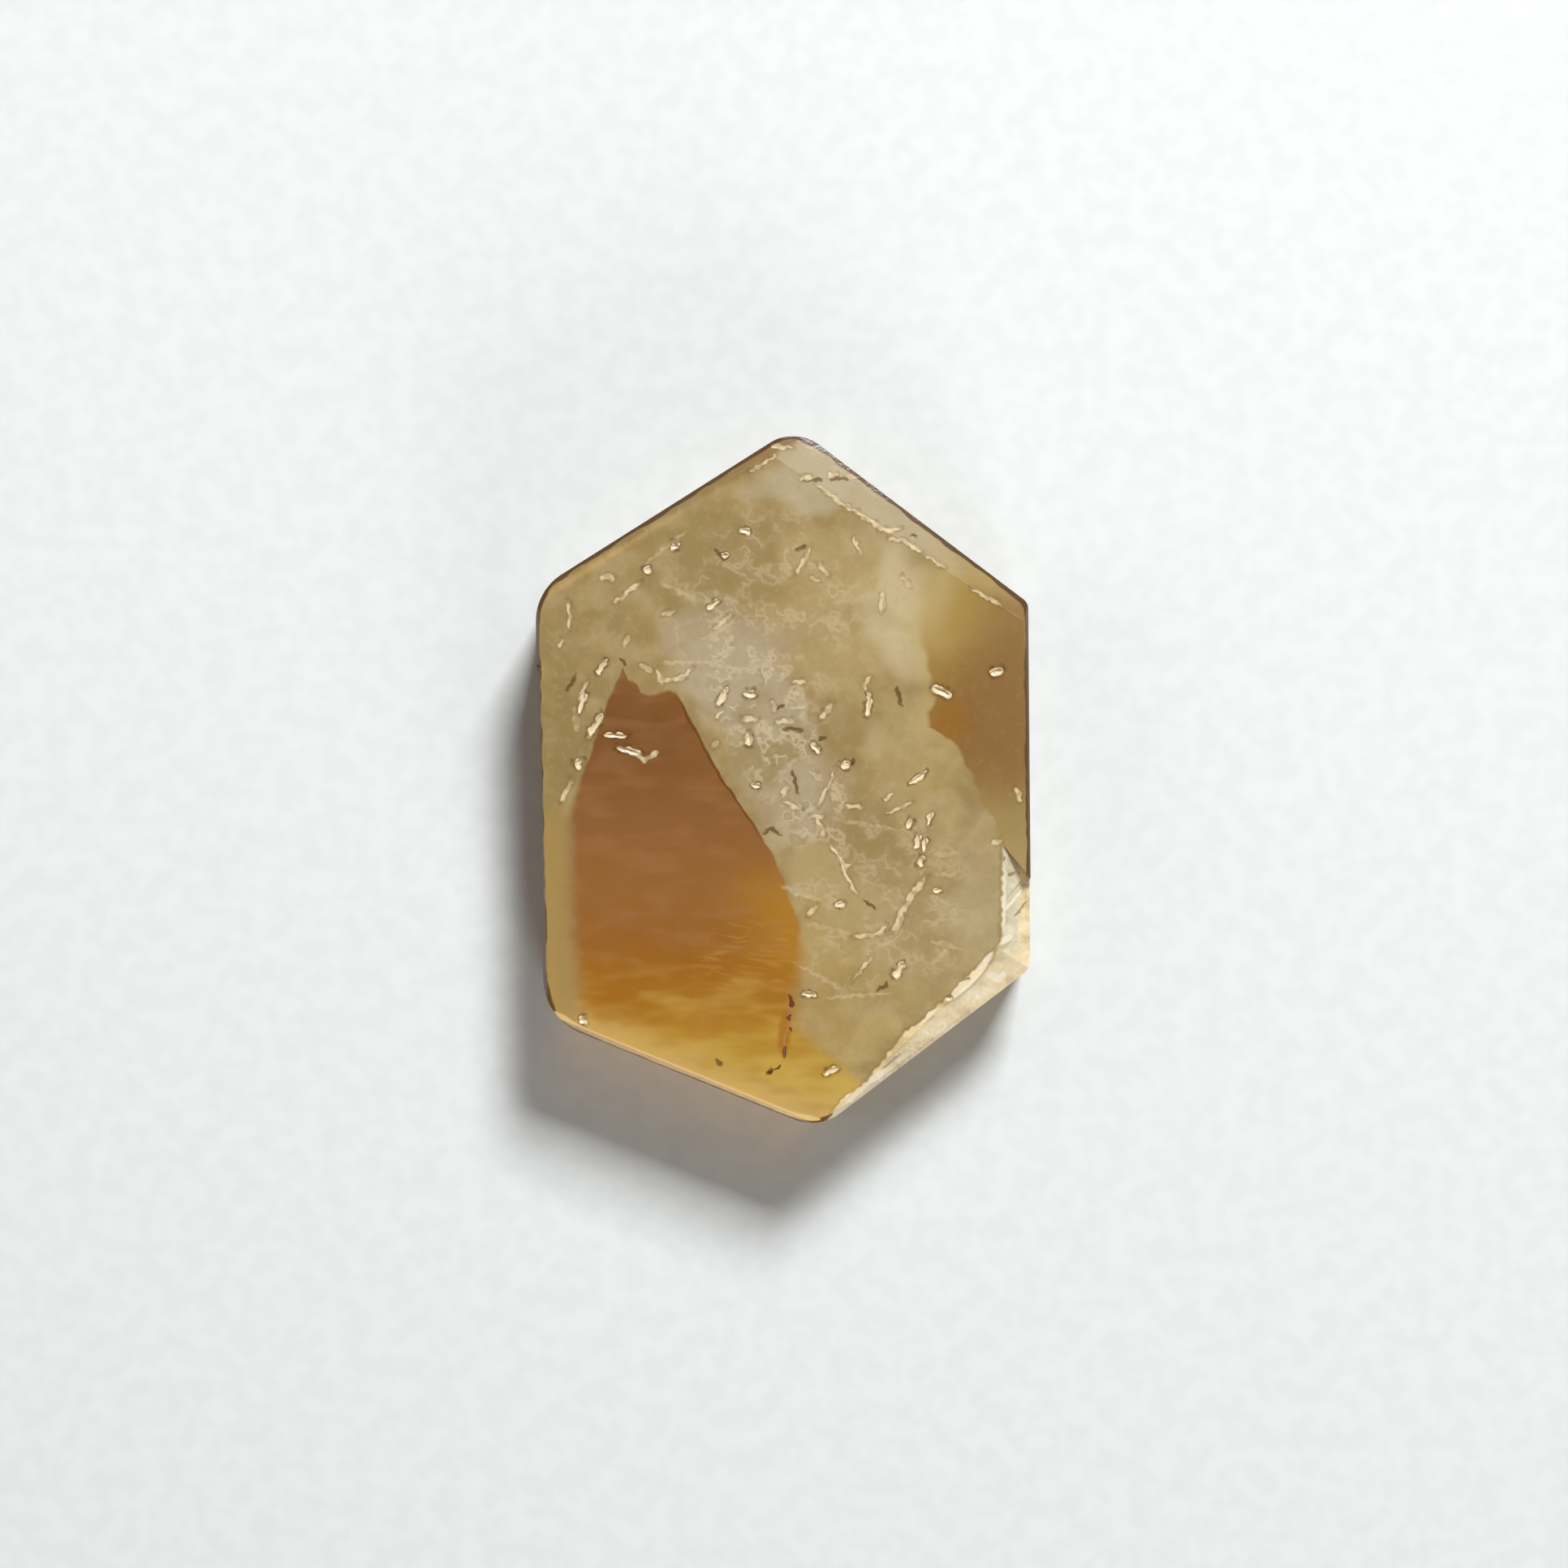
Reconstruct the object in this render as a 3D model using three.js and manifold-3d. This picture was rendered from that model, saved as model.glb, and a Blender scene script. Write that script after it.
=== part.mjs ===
// A slice of natural sapphire: a thin six-sided tablet, ground flat from a colour-zoned crystal.
// It lies on its back face. X runs across the slice, Y from the bottom apex to the top apex,
// Z out of the front face, and the origin is the middle of the back face. Millimetres.
import * as THREE from "three";
import { mergeVertices } from "three/addons/utils/BufferGeometryUtils.js";
import Module from "manifold-3d";

const wasm = await Module();
wasm.setup();

// Driving dimensions.
const WIDTH = 10.45;
const LENGTH = 14.5;
const THICKNESS = 2.2;

const HALF_WIDTH = WIDTH / 2;
const HALF_LENGTH = LENGTH / 2;
const CORNER_STEPS = 6; // straight pieces in each rounded corner
const CUTTER_SPAN = 30; // grinding cutters reach well past the slice
const SMALLEST_EDGE = 1e-5; // points nearer than this are one point
const DEGREE = Math.PI / 180;
const COLOUR = 0xb09a6a;

// The six corners, clockwise from the top, where the sides would meet if they were sharp.
// reach is how far the rounding of a corner runs back along each side.
const CORNERS = [
  { name: "top apex", x: 0.047 * HALF_WIDTH, y: 1.0265 * HALF_LENGTH, reach: 0.68 },
  { name: "right shoulder", x: 0.988 * HALF_WIDTH, y: 0.513 * HALF_LENGTH, reach: 0.12 },
  { name: "right hip", x: HALF_WIDTH, y: -0.554 * HALF_LENGTH, reach: 0.16 },
  { name: "bottom apex", x: 0.14 * HALF_WIDTH, y: -1.0195 * HALF_LENGTH, reach: 0.6 },
  { name: "left hip", x: -0.967 * HALF_WIDTH, y: -0.696 * HALF_LENGTH, reach: 0.8 },
  { name: "left shoulder", x: -1.0025 * HALF_WIDTH, y: 0.547 * HALF_LENGTH, reach: 0.62 },
];

// Facets ground along the rim, one for each side, clockwise from the top apex. A facet starts
// on the flat face, inset from the side's first and last corner, and falls away at tilt degrees.
const FRONT_RIM = [
  { name: "upper right", insets: [0.6, 0.36], tilt: 14 },
  { name: "right side", insets: [0.1, 0.07], tilt: 48 },
  { name: "lower right", insets: [0.76, 0.04], tilt: 32 },
  { name: "lower left", insets: [0.1, 0.12], tilt: 46 },
  { name: "left side", insets: [0.09, 0.07], tilt: 48 },
  { name: "upper left", insets: [0.08, 0.27], tilt: 34 },
];
const BACK_RIM = [
  { name: "upper right", insets: [0.22, 0.26], tilt: 38 },
  { name: "right side", insets: [0.18, 0.22], tilt: 44 },
  { name: "lower right", insets: [0.3, 0.34], tilt: 36 },
  { name: "lower left", insets: [0.2, 0.24], tilt: 42 },
  { name: "left side", insets: [0.26, 0.2], tilt: 40 },
  { name: "upper left", insets: [0.18, 0.16], tilt: 44 },
];
// A small facet across the tip of the top apex, from ridge to rim.
const TIP_FACET = { ridge: { from: [0.56, 7.0], to: [-0.34, 7.02] }, tilt: 40 };

// Two flakes have left the rim of the right side, above the hip. Each has a sloping floor that
// starts at its ridge, and keeps to its own outline.
const FLAKES = [
  {
    ridge: { from: [4.62, -2.66], to: [4.62, -1.42] },
    tilt: 27,
    outline: [[4.6, -1.36], [5.2, -2.08], [5.5, -2.4], [5.5, -2.6], [5.02, -2.16], [4.62, -2.7]],
  },
  {
    ridge: { from: [4.6, -3.42], to: [4.62, -2.6] },
    tilt: 35,
    outline: [[4.6, -2.66], [5.02, -2.12], [5.5, -2.5], [5.5, -4.4], [4.4, -3.7]],
  },
];

// Open pits and cut-off growth tubes on the front face: place, length, breadth, depth and turn.
const FRONT_PITS = [
  [-2.29, 4.91, 0.2, 0.2, 0.1, 0],
  [-1.24, 4.72, 0.16, 0.13, 0.1, 20],
  [-0.8, 5.23, 0.26, 0.12, 0.06, -10],
  [-2.85, 4.41, 0.2, 0.16, 0.06, 30],
  [-1.48, 3.68, 0.36, 0.11, 0.06, 42],
  [-3.82, 2.36, 0.4, 0.11, 0.07, 58],
  [-4.25, 1.59, 0.46, 0.12, 0.07, 72],
  [-3.96, 1.14, 0.6, 0.16, 0.09, 60],
  [-3.53, 0.92, 0.5, 0.13, 0.08, -4],
  [-3.28, 0.6, 0.55, 0.17, 0.09, -14],
  [-4.32, 0.33, 0.26, 0.19, 0.09, 60],
  [-1.28, 1.74, 0.46, 0.14, 0.08, 64],
  [-0.71, 1.79, 0.28, 0.18, 0.08, 0],
  [-0.73, 0.84, 0.34, 0.15, 0.09, 90],
  [-0.58, -0.14, 0.22, 0.14, 0.07, -8],
  [0.77, 0.68, 0.26, 0.15, 0.07, -20],
  [1.3, 0.29, 0.22, 0.19, 0.07, 40],
  [1.78, 1.57, 0.52, 0.12, 0.07, 84],
  [2.84, 0.03, 0.46, 0.1, 0.06, 46],
  [3.32, 1.85, 0.46, 0.2, 0.1, -26],
  [4.48, 2.26, 0.32, 0.18, 0.09, 20],
  [2.7, -0.94, 0.26, 0.15, 0.08, 60],
  [3.1, -0.87, 0.3, 0.11, 0.07, 80],
  [2.84, -1.37, 0.34, 0.12, 0.08, 78],
  [3.04, -1.4, 0.3, 0.11, 0.07, 84],
  [2.93, -1.76, 0.26, 0.16, 0.08, 70],
  [3.27, -2.34, 0.2, 0.13, 0.06, 10],
  [1.22, -2.68, 0.22, 0.14, 0.06, 30],
  [2.43, -4.02, 0.42, 0.16, 0.09, 64],
  [0.53, -4.53, 0.28, 0.12, 0.07, -6],
  [-4.23, -5.08, 0.2, 0.2, 0.08, 0],
  [1.0, -6.15, 0.36, 0.14, 0.06, 25],
];
// Fewer and shallower on the back face.
const BACK_PITS = [
  [-2.6, 2.9, 0.3, 0.14, 0.06, 30],
  [1.9, 4.3, 0.22, 0.18, 0.07, 0],
  [2.8, -2.4, 0.4, 0.13, 0.07, -55],
  [-1.7, -3.6, 0.34, 0.12, 0.06, 12],
  [0.6, -0.9, 0.24, 0.16, 0.06, 70],
];

// Fractures that reach the front face, as shallow grooves: width, and the points they run through.
const FRACTURES = [
  { width: 0.09, path: [[0.2, -4.52], [0.22, -4.95], [0.08, -5.35], [0.0, -5.8], [-0.22, -6.12]] },
  { width: 0.08, path: [[0.62, -0.5], [1.0, -1.25], [1.4, -2.1], [1.8, -2.72], [2.1, -3.0]] },
  { width: 0.09, path: [[2.1, -3.0], [2.55, -2.52], [2.95, -2.15]] },
  { width: 0.08, path: [[0.47, 6.3], [0.8, 6.32], [1.24, 6.33]] },
];

// Nicks in the rim of the front and the back face: place and radius.
const FRONT_NICKS = [
  [-3.68, 5.2, 0.13],
  [-4.87, 4.3, 0.12],
  [-5.21, 2.35, 0.11],
  [-4.0, -5.53, 0.1],
  [2.75, 5.12, 0.1],
  [1.7, 5.88, 0.12],
  [4.25, 3.96, 0.12],
  [4.36, -3.72, 0.16],
  [3.5, -4.6, 0.13],
  [5.18, -0.2, 0.14],
];
const BACK_NICKS = [
  [-2.2, -6.15, 0.14],
  [5.16, 1.2, 0.15],
  [-3.1, 5.45, 0.16],
];

// A closed three.js geometry as a manifold-3d solid.
function solidOf(geometry) {
  const bare = geometry.clone();
  bare.deleteAttribute("normal");
  bare.deleteAttribute("uv");
  const merged = mergeVertices(bare, SMALLEST_EDGE);
  const vertProperties = new Float32Array(merged.getAttribute("position").array);
  const triVerts = new Uint32Array(merged.index.array);
  return new wasm.Manifold(new wasm.Mesh({ numProp: 3, vertProperties, triVerts }));
}

// A manifold-3d solid as a flat-shaded three.js geometry.
function geometryOf(solid) {
  const mesh = solid.getMesh();
  const geometry = new THREE.BufferGeometry();
  geometry.setAttribute("position", new THREE.BufferAttribute(mesh.vertProperties, mesh.numProp));
  geometry.setIndex(new THREE.BufferAttribute(mesh.triVerts, 1));
  const flat = geometry.toNonIndexed();
  flat.computeVertexNormals();
  return flat;
}

function cornerPoint(i) {
  const { x, y } = CORNERS[i % CORNERS.length];
  return new THREE.Vector2(x, y);
}

// The outline: straight sides joined by rounded corners.
function outlineShape() {
  const shape = new THREE.Shape();
  CORNERS.forEach(({ reach }, i) => {
    const corner = cornerPoint(i);
    const enter = cornerPoint(i + CORNERS.length - 1).sub(corner).setLength(reach).add(corner);
    const leave = cornerPoint(i + 1).sub(corner).setLength(reach).add(corner);
    if (i === 0) shape.moveTo(enter.x, enter.y);
    else shape.lineTo(enter.x, enter.y);
    shape.quadraticCurveTo(corner.x, corner.y, leave.x, leave.y);
  });
  shape.closePath();
  return shape;
}

function blank() {
  const settings = { depth: THICKNESS, bevelEnabled: false, curveSegments: CORNER_STEPS };
  return solidOf(new THREE.ExtrudeGeometry(outlineShape(), settings));
}

// The direction in the plane of the slice that is square to a line, on its left.
function leftOf(from, to) {
  return new THREE.Vector3(from.y - to.y, to.x - from.x, 0).normalize();
}

// What grinding takes off: everything outside a plane that starts at a ridge, drawn at height z,
// and falls away outward. up is 1 on the front face and -1 on the back.
function grindingCutter({ from, to, outward, tilt, z, up }) {
  const along = new THREE.Vector3(to.x - from.x, to.y - from.y, 0).normalize();
  const normal = new THREE.Vector3(0, 0, up * Math.cos(tilt * DEGREE));
  normal.addScaledVector(outward, Math.sin(tilt * DEGREE));
  const across = new THREE.Vector3().crossVectors(normal, along);
  const middle = new THREE.Vector3((from.x + to.x) / 2, (from.y + to.y) / 2, z);
  middle.addScaledVector(normal, CUTTER_SPAN / 2);
  const place = new THREE.Matrix4().makeBasis(along, across, normal).setPosition(middle);
  return solidOf(new THREE.BoxGeometry(CUTTER_SPAN, CUTTER_SPAN, CUTTER_SPAN).applyMatrix4(place));
}

// The rim facets of one face, each along its own side of the outline.
function rimCutters(rim, z, up) {
  return rim.map(({ insets, tilt }, side) => {
    const outward = leftOf(cornerPoint(side), cornerPoint(side + 1));
    const inward = new THREE.Vector2(-outward.x, -outward.y);
    const from = cornerPoint(side).addScaledVector(inward, insets[0]);
    const to = cornerPoint(side + 1).addScaledVector(inward, insets[1]);
    return grindingCutter({ from, to, outward, tilt, z, up });
  });
}

// A facet of the front face whose ridge is drawn with the rim on its right.
function ridgeCutter({ ridge, tilt }) {
  const from = new THREE.Vector2(...ridge.from);
  const to = new THREE.Vector2(...ridge.to);
  return grindingCutter({ from, to, outward: leftOf(to, from), tilt, z: THICKNESS, up: 1 });
}

function flakeCutter(flake) {
  const region = new THREE.Shape(flake.outline.map(([x, y]) => new THREE.Vector2(x, y)));
  const column = new THREE.ExtrudeGeometry(region, { depth: 2 * THICKNESS, bevelEnabled: false });
  return solidOf(column).intersect(ridgeCutter(flake));
}

// A blunt little crystal shape, sunk into a face by its depth.
function pitCutter([x, y, long, broad, deep, turn], z) {
  const cutter = new THREE.IcosahedronGeometry(1, 1);
  cutter.scale(long / 2, broad / 2, deep);
  cutter.rotateZ(turn * DEGREE);
  cutter.translate(x, y, z);
  return solidOf(cutter);
}

// Each nick is turned differently, so that no two look alike.
function nickCutter([x, y, radius], z, i) {
  const cutter = new THREE.IcosahedronGeometry(radius, 0);
  cutter.rotateX(i);
  cutter.rotateZ(2 * i);
  cutter.translate(x, y, z);
  return solidOf(cutter);
}

// One straight stretch of a fracture: a four-sided bar whose lower edge cuts a V.
function grooveCutter(width, [x0, y0], [x1, y1]) {
  const length = Math.hypot(x1 - x0, y1 - y0);
  const bar = new THREE.CylinderGeometry(width / 2, width / 2, length + width / 2, 4);
  bar.rotateZ(Math.atan2(y1 - y0, x1 - x0) - Math.PI / 2);
  bar.translate((x0 + x1) / 2, (y0 + y1) / 2, THICKNESS);
  return solidOf(bar);
}

function grooveCutters({ width, path }) {
  return path.slice(1).map((point, i) => grooveCutter(width, path[i], point));
}

function sliceSolid() {
  const ground = [
    ...rimCutters(FRONT_RIM, THICKNESS, 1),
    ...rimCutters(BACK_RIM, 0, -1),
    ridgeCutter(TIP_FACET),
  ];
  const worn = [
    ...FLAKES.map(flakeCutter),
    ...FRONT_PITS.map((pit) => pitCutter(pit, THICKNESS)),
    ...BACK_PITS.map((pit) => pitCutter(pit, 0)),
    ...FRONT_NICKS.map((nick, i) => nickCutter(nick, THICKNESS, i)),
    ...BACK_NICKS.map((nick, i) => nickCutter(nick, 0, i)),
    ...FRACTURES.flatMap(grooveCutters),
  ];
  return [...ground, ...worn].reduce((solid, cutter) => solid.subtract(cutter), blank());
}

function sapphireSlice() {
  const material = new THREE.MeshStandardMaterial({ color: COLOUR, roughness: 0.15, metalness: 0 });
  const mesh = new THREE.Mesh(geometryOf(sliceSolid()), material);
  mesh.name = "sapphire_slice";
  return mesh;
}

const group = new THREE.Group();
group.add(sapphireSlice());

export default group;
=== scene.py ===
"""Looks for a slice of colour-zoned natural sapphire, laid out as a Blender add-on and run as a script.

The slice lies on its back face: X runs across it, Y from its bottom apex to its top apex, and Z
out of its polished front face. It is modelled in millimetres and brought to metres at the end, and
its finish reads its Object coordinates in millimetres too.
"""

import math

import bpy
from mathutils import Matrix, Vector


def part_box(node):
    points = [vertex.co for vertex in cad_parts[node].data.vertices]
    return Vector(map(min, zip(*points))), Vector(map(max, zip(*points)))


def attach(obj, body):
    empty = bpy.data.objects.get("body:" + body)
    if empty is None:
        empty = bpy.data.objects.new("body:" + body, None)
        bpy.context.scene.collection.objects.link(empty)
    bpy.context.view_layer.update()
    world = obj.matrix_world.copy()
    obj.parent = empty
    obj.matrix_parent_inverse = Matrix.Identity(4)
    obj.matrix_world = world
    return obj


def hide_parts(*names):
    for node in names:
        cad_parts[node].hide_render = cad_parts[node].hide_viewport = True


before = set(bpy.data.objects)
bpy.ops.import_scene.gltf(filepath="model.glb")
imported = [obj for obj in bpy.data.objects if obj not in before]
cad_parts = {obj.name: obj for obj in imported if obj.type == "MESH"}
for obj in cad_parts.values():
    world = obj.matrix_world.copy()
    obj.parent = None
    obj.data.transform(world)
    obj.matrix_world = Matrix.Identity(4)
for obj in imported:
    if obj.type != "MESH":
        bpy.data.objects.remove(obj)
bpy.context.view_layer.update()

bl_info = {
    "name": "Sapphire Slice",
    "version": (1, 0, 0),
    "blender": (4, 5, 0),
    "location": "3D View > Sidebar > Sapphire",
    "description": "Models, finishes and lights a polished slice of natural sapphire",
    "category": "Add Mesh",
}

MM = 0.001
NODE = "sapphire_slice"
BODY = "root"
PIECE = "polished_slice"

LOW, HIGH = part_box(NODE)
THICKNESS = (HIGH.z - LOW.z) / MM

# ---- shape, in millimetres

HALF_WIDTH = 5.225
HALF_LENGTH = 7.25

# The six corners, clockwise from the top, where the sides would meet if they were sharp, and how
# far the rounding of each runs back along its sides.
CORNERS = (
    ((0.047 * HALF_WIDTH, 1.0265 * HALF_LENGTH), 0.6),
    ((0.988 * HALF_WIDTH, 0.513 * HALF_LENGTH), 0.12),
    ((HALF_WIDTH, -0.554 * HALF_LENGTH), 0.16),
    ((0.14 * HALF_WIDTH, -1.0195 * HALF_LENGTH), 0.54),
    ((-0.967 * HALF_WIDTH, -0.696 * HALF_LENGTH), 0.8),
    ((-1.0025 * HALF_WIDTH, 0.547 * HALF_LENGTH), 0.62),
)
CORNER_STEPS = 8

# The sides, clockwise from the top apex.
UPPER_RIGHT, RIGHT, LOWER_RIGHT, LOWER_LEFT, LEFT, UPPER_LEFT = range(6)

# Rim facets: inset from the side at its first and last corner, and tilt in degrees.
FRONT_RIM = (
    (0.79, 0.39, 14), (0.1, 0.07, 48), (0.72, 0.08, 32), (0.1, 0.12, 46), (0.09, 0.07, 48),
    (0.08, 0.27, 34),
)
BACK_RIM = (
    (0.22, 0.26, 38), (0.18, 0.22, 44), (0.3, 0.34, 36), (0.2, 0.24, 42), (0.26, 0.2, 40), (0.18, 0.16, 44),
)
TIP_RIDGE = ((0.56, 7.0), (-0.34, 7.02))
TIP_TILT = 40

# Flakes lost from the rim: the ridge that each floor falls away from, its tilt, and its outline.
FLAKES = (
    (((4.62, -2.66), (4.62, -1.42)), 27,
     ((4.6, -1.36), (5.2, -2.08), (5.6, -2.5), (5.02, -2.16), (4.62, -2.7))),
    (((4.6, -3.42), (4.62, -2.6)), 35,
     ((4.6, -2.66), (5.02, -2.12), (5.6, -2.46), (5.6, -4.4), (4.4, -3.7))),
    (((3.44, -4.6), (4.56, -3.46)), 15,
     ((3.4, -4.6), (4.6, -3.38), (4.3, -3.95), (3.98, -4.35), (3.5, -4.62))),
)
CUTTER_HEIGHT = 2.0

# Open pits and cut-off growth tubes: place, length, breadth, depth and turn in degrees.
FRONT_PITS = (
    (-2.29, 4.91, 0.18, 0.14, 0.1, 0), (-1.24, 4.72, 0.14, 0.09, 0.1, 20),
    (-0.8, 5.23, 0.23, 0.1, 0.06, -10), (-2.85, 4.41, 0.18, 0.12, 0.06, 30),
    (-1.48, 3.68, 0.31, 0.09, 0.06, 42), (-3.82, 2.36, 0.34, 0.09, 0.07, 58),
    (-4.25, 1.59, 0.4, 0.1, 0.07, 72), (-3.96, 1.14, 0.52, 0.12, 0.09, 60),
    (-3.53, 0.92, 0.43, 0.09, 0.08, -4), (-3.28, 0.6, 0.47, 0.12, 0.09, -14),
    (-4.32, 0.33, 0.23, 0.14, 0.09, 60), (-1.28, 1.74, 0.4, 0.1, 0.08, 64),
    (-0.71, 1.79, 0.25, 0.13, 0.08, 0), (-0.73, 0.84, 0.29, 0.11, 0.09, 90),
    (-0.58, -0.14, 0.2, 0.1, 0.07, -8), (0.68, 0.66, 0.23, 0.11, 0.07, -50),
    (1.3, 0.29, 0.2, 0.14, 0.07, 40), (1.78, 1.57, 0.45, 0.1, 0.07, 84), (2.84, 0.03, 0.4, 0.08, 0.06, 36),
    (3.32, 1.85, 0.4, 0.14, 0.1, -26), (4.48, 2.26, 0.28, 0.13, 0.09, 20),
    (2.67, -0.93, 0.23, 0.11, 0.08, 60), (3.08, -0.82, 0.27, 0.09, 0.07, 80),
    (2.82, -1.3, 0.29, 0.1, 0.08, 78), (2.97, -1.38, 0.27, 0.09, 0.07, 84),
    (2.9, -1.74, 0.23, 0.12, 0.08, 80), (3.25, -2.34, 0.18, 0.09, 0.06, 16),
    (1.19, -2.64, 0.2, 0.1, 0.06, 30), (2.43, -4.02, 0.36, 0.12, 0.09, 60),
    (0.53, -4.53, 0.25, 0.1, 0.07, -6), (-4.23, -5.08, 0.18, 0.14, 0.08, 0),
    (1.0, -6.15, 0.31, 0.1, 0.06, 25),
)
BACK_PITS = (
    (-2.6, 2.9, 0.3, 0.14, 0.06, 30), (1.9, 4.3, 0.22, 0.18, 0.07, 0), (2.8, -2.4, 0.4, 0.13, 0.07, -55),
    (-1.7, -3.6, 0.34, 0.12, 0.06, 12), (0.6, -0.9, 0.24, 0.16, 0.06, 70),
)

# Healed fractures that reach the front face: the width of each groove, and its way.
FRACTURES = (
    (0.04, ((0.16, -4.55), (0.21, -4.77), (0.09, -4.97), (0.11, -5.2), (0.01, -5.42), (0.01, -5.85))),
    (0.06, ((1.04, -1.44), (1.2, -1.64), (1.29, -1.93), (1.51, -2.32))),
    (0.08, ((2.92, -2.17), (2.61, -2.6), (2.56, -2.87), (2.38, -3.13))),
)

# Nicks in the rim of the front and the back face: place and radius.
FRONT_NICKS = (
    (-3.68, 5.2, 0.13), (-4.87, 4.3, 0.12), (-5.21, 2.35, 0.11), (-4.0, -5.53, 0.1), (2.75, 5.12, 0.1),
    (3.5, -4.6, 0.08),
)
BACK_NICKS = ((-2.2, -6.15, 0.14), (5.16, 1.2, 0.15), (-3.1, 5.45, 0.16))

# Points nearer than this are taken as one.
MERGE = 1e-5
# A pit's cutter is a bubble in the face, and reaches this share of the pit's depth.
PIT_REACH = 0.55
# A groove's cutter lies this share of its width above the face.
GROOVE_RISE = 0.3
# How far a cutter's surface strays, as a share of a pit's breadth or of a nick's radius.
PIT_ROUGHNESS = 0.05
NICK_ROUGHNESS = 0.12
# The least turn of an edge that is eased and of one that is shaded sharp, in degrees.
EASE_ANGLE = 12
SHARP_ANGLE = 30
# How much a broad face counts above a narrow one in the shading of the edge between them.
FACE_WEIGHT = 90

# ---- finish, in millimetres

# The crystal bends light as corundum does, and lets half of it in. Light that goes through it
# takes its tint, and the lamps' light that goes on to the floor takes the tint of the shadow.
REFRACTION = 1.77
SEE_THROUGH = 0.5
TINT = (224, 202, 150)
TINT_DENSITY = 160.0
SHADOW_TINT = (112, 88, 60)
# How high the finest relief seems to stand, in metres.
RELIEF = 0.03 * MM

# Milky and deeper clouds: place, half length, half breadth, turn in degrees, strength, how much of
# it is fully coloured, and its tone.
CLOUDS = (
    (-1.2, 4.6, 1.5, 0.95, 10, 0.75, 0.2, "shade"), (1.3, 3.7, 1.4, 1.9, -10, 0.6, 0.2, "warm"),
    (-1.2, 2.9, 1.5, 1, -10, 0.7, 0.3, "veil"), (-0.2, 0.9, 2.6, 1, -63, 0.8, 0.3, "veil"),
    (-1.4, 1.9, 1, 0.6, -20, 0.8, 0.2, "veil"), (2.55, 3.6, 1.5, 0.8, 100, 0.8, 0.2, "pale"),
    (0.3, 6.3, 0.9, 0.7, 0, 0.8, 0.2, "blush"), (1.3, 1.2, 0.75, 0.65, 0, 0.7, 0.2, "shade"),
    (1.8, -1.6, 0.8, 1, -20, 0.6, 0.2, "shade"), (-4.8, 1.3, 0.6, 2.3, 0, 0.7, 0.2, "deep"),
    (2.9, -3.4, 2, 2, 0, 0.5, 0.2, "fair"), (1.4, -4.4, 1.6, 1.4, 0, 0.5, 0.2, "warm"),
    (0.65, -0.85, 0.55, 0.5, 0, 0.25, 0.2, "mist"), (0.8, -2.2, 1, 0.6, -60, 0.7, 0.2, "warm"),
    (1.5, -2.9, 0.9, 0.8, 0, 0.6, 0.2, "warm"), (-0.2, 0.6, 1.2, 0.5, -10, 0.7, 0.1, "shade"),
    (2.3, 0.5, 1.6, 0.8, 90, 0.5, 0.2, "warm"), (0.7, -3.7, 1, 0.5, 80, 0.6, 0.1, "fringe"),
    (1.1, -5.1, 0.8, 0.6, 30, 0.7, 0.1, "fringe"), (3.2, 0.5, 0.6, 1.2, 20, 0.4, 0.1, "fringe"),
    (4.2, -2.4, 0.7, 1.5, 0, 0.3, 0.1, "pale"), (-0.6, 1.5, 0.5, 0.5, 20, 0.5, 0.2, "shade"),
    (-1.4, 3.5, 0.8, 0.4, 0, 0.5, 0.2, "shade"), (1.85, 3.4, 0.5, 0.5, 0, 0.45, 0.2, "shade"),
    (-1.9, 1.25, 0.35, 0.45, 0, 0.5, 0.2, "veil"), (1.1, -1.1, 0.5, 0.5, 0, 0.5, 0.2, "shade"),
    (0.7, -2.9, 0.7, 0.6, -40, 0.45, 0.2, "olive"), (1.4, -4.6, 1.2, 0.9, 0, 0.65, 0.2, "olive"),
    (3.4, -0.7, 0.5, 0.8, 20, 0.5, 0.2, "warm"), (1.9, -5.7, 0.5, 0.4, 0, 0.8, 0.2, "fringe"),
    (-0.6, -0.1, 0.7, 0.4, -60, 0.5, 0.2, "shade"),
)

# Patches: place, half length, half breadth and turn in degrees.
RUST = (4.5, 1.4, 1.3, 1.8, 0)
AMBER = (3.5, 1.2, 0.55, 0.5, 0)
EMBER = (-3.7, -4.25, 1.3, 0.6, -10)
SHIMMER = (-0.7, -3.8, 1.5, 0.9, 8)
THREAD_BAND = (-0.1, 0.9, 3.3, 1.1, -63)
UPPER_THREADS = (-0.4, 3.6, 2.4, 2.6, 0)
LOWER_THREADS = (2.1, -2.6, 2.2, 2.4, 0)
IRON_HALO = (0.03, -5.35, 0.5, 0.14, 86)
CHIP = (3.86, -4.15, 0.68, 0.2, 46)

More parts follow.
